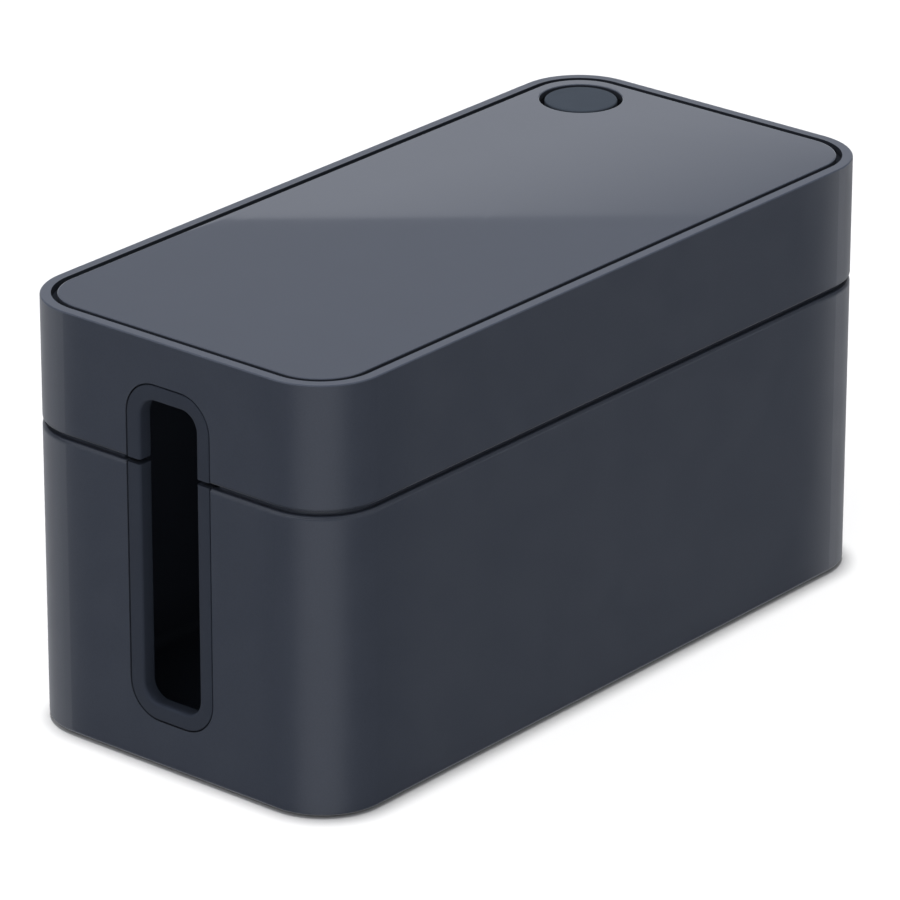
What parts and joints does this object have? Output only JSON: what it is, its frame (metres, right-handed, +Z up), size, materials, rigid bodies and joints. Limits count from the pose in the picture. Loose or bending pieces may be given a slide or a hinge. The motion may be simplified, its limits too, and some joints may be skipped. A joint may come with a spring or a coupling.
{
  "type": "cable management box",
  "caption": "Rounded rectangular tub with a lift-off lid that hides a socket strip, with soft-edged cable slots in its short ends, an inlaid mat and a plugged cable port in the lid's corner.",
  "frame": {"origin": "on the ground, under the middle of the box", "axes": "+X along the box towards the end where the lid's port is, +Y across it towards the port's side, +Z up"},
  "size_m": [0.246, 0.116, 0.128],
  "materials": {
    "shell_plastic": "fine matte moulded texture, graphite grey",
    "mat_surface": "smooth satin, graphite grey",
    "soft_trim": "matte soft touch, blue grey",
    "foot_rubber": "matte black",
    "adhesive_film": "translucent white film"
  },
  "bodies": {
    "base": {"base_tub": "shell_plastic", "slot_trim_left_lower": "soft_trim", "slot_trim_right_lower": "soft_trim", "foot_front_left": "foot_rubber", "foot_front_right": "foot_rubber", "foot_rear_left": "foot_rubber", "foot_rear_right": "foot_rubber"},
    "lid": {"lid_shell": "shell_plastic", "lid_mat": "mat_surface", "mat_adhesive": "adhesive_film", "slot_trim_left_upper": "soft_trim", "slot_trim_right_upper": "soft_trim"},
    "cap": {"port_cap": "soft_trim"}
  },
  "joints": [
    {"name": "lid_lift", "type": "slide", "parent": "base", "child": "lid", "axis": [0, 0, 1], "range_m": [0, 0.16]},
    {"name": "cap_lift", "type": "slide", "parent": "lid", "child": "cap", "axis": [0, 0, 1], "range_m": [0, 0.04]}
  ]
}
